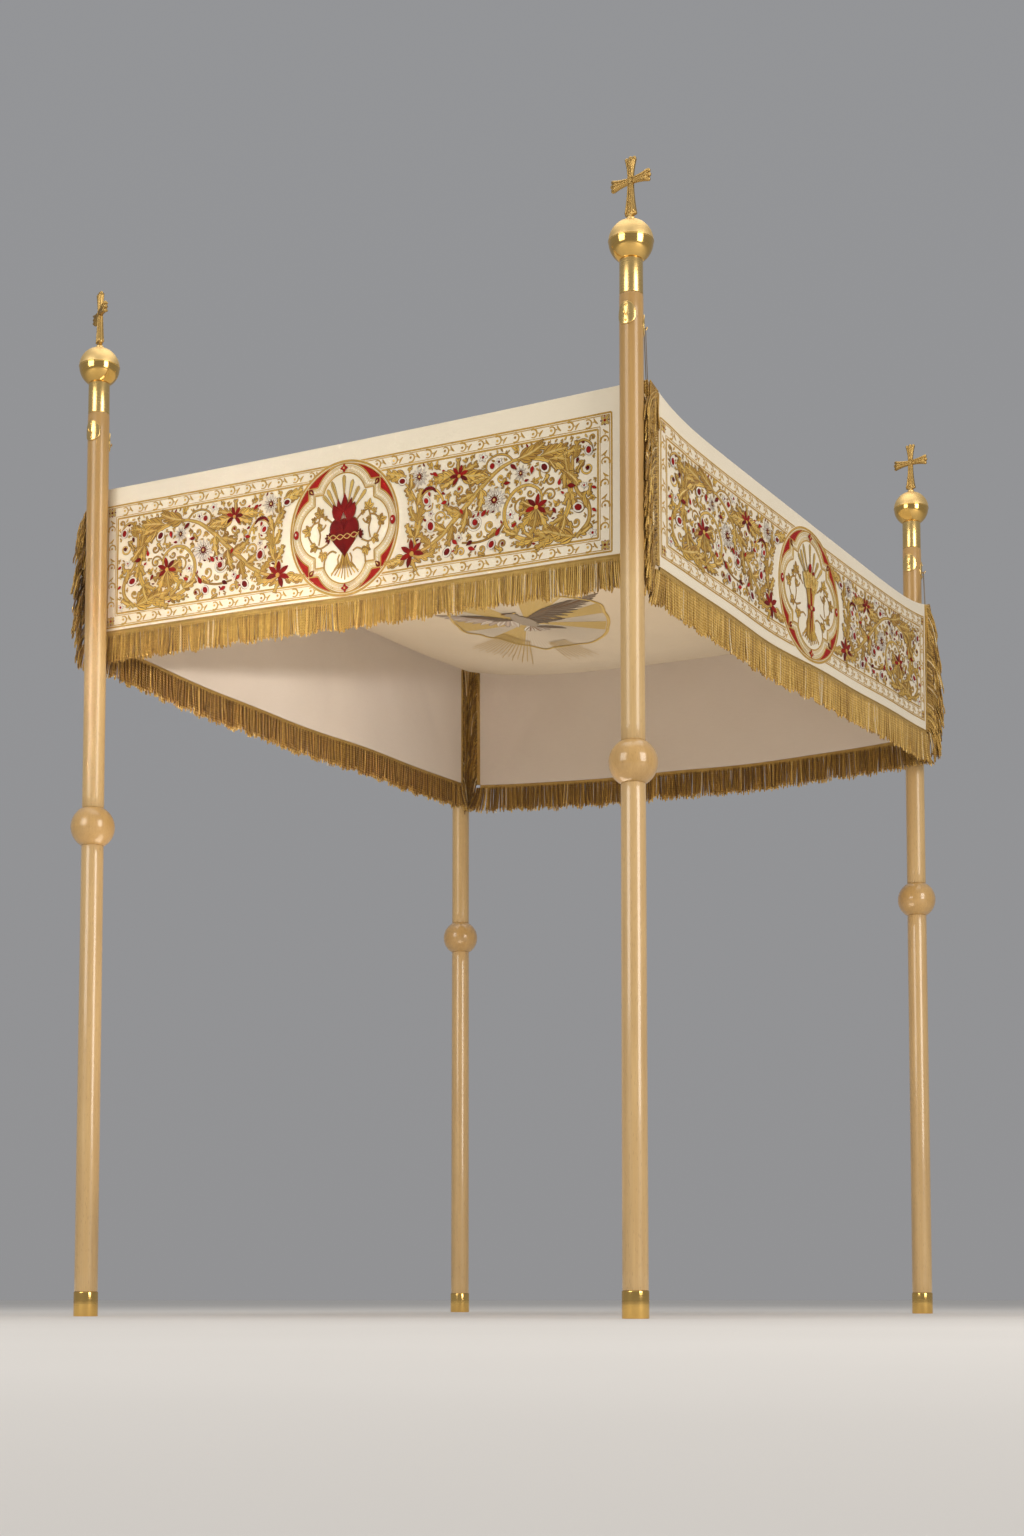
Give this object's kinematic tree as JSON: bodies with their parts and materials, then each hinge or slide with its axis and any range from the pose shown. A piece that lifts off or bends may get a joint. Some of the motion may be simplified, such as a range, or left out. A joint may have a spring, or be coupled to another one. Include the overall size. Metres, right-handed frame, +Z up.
{
  "type": "processional canopy",
  "caption": "Rectangular fabric canopy hung from upright poles with ball finials, with deep fringed valances on every side.",
  "frame": {"origin": "on the floor, under the centre of the whole outline", "axes": "+Z up the poles, +X across the front valance towards its right end, +Y from the front valance to the back one"},
  "size_m": [1.575, 1.97, 2.4114],
  "materials": {
    "ivory_cloth": "ivory silk satin, embroidered on the valances",
    "gold_fringe": "twisted gold thread, slightly metallic",
    "pole_wood": "pale hardwood under glossy varnish",
    "brass": "polished",
    "grey_cord": "thin braided cord, matt"
  },
  "bodies": {
    "root": {"ferrule_front_left": "brass", "ferrule_front_right": "brass", "ferrule_back_right": "brass", "ferrule_back_left": "brass", "lower_pole_front_left": "pole_wood", "lower_pole_front_right": "pole_wood", "lower_pole_back_right": "pole_wood", "lower_pole_back_left": "pole_wood", "pole_ball_front_left": "pole_wood", "pole_ball_front_right": "pole_wood", "pole_ball_back_right": "pole_wood", "pole_ball_back_left": "pole_wood", "upper_pole_front_left": "pole_wood", "upper_pole_front_right": "pole_wood", "upper_pole_back_right": "pole_wood", "upper_pole_back_left": "pole_wood", "collar_front_left": "brass", "collar_front_right": "brass", "collar_back_right": "brass", "collar_back_left": "brass", "finial_ball_front_left": "brass", "finial_ball_front_right": "brass", "finial_ball_back_right": "brass", "finial_ball_back_left": "brass", "cross_front_left": "brass", "cross_front_right": "brass", "cross_back_right": "brass", "cross_back_left": "brass", "hanger_plate_front_left": "brass", "hanger_plate_front_right": "brass", "hanger_plate_back_right": "brass", "hanger_plate_back_left": "brass", "spare_plate_front_left": "brass", "spare_plate_front_right": "brass", "spare_plate_back_right": "brass", "spare_plate_back_left": "brass", "hanger_cord_front_left": "grey_cord", "hanger_cord_front_right": "grey_cord", "hanger_cord_back_right": "grey_cord", "hanger_cord_back_left": "grey_cord", "ceiling": "ivory_cloth", "valance_front": "ivory_cloth", "hem_fringe_front": "gold_fringe", "edge_fringe_front_front_left": "gold_fringe", "edge_fringe_front_front_right": "gold_fringe", "valance_right": "ivory_cloth", "hem_fringe_right": "gold_fringe", "edge_fringe_right_front_right": "gold_fringe", "edge_fringe_right_back_right": "gold_fringe", "valance_back": "ivory_cloth", "hem_fringe_back": "gold_fringe", "edge_fringe_back_back_right": "gold_fringe", "edge_fringe_back_back_left": "gold_fringe", "valance_left": "ivory_cloth", "hem_fringe_left": "gold_fringe", "edge_fringe_left_back_left": "gold_fringe", "edge_fringe_left_front_left": "gold_fringe"}
  },
  "joints": []
}
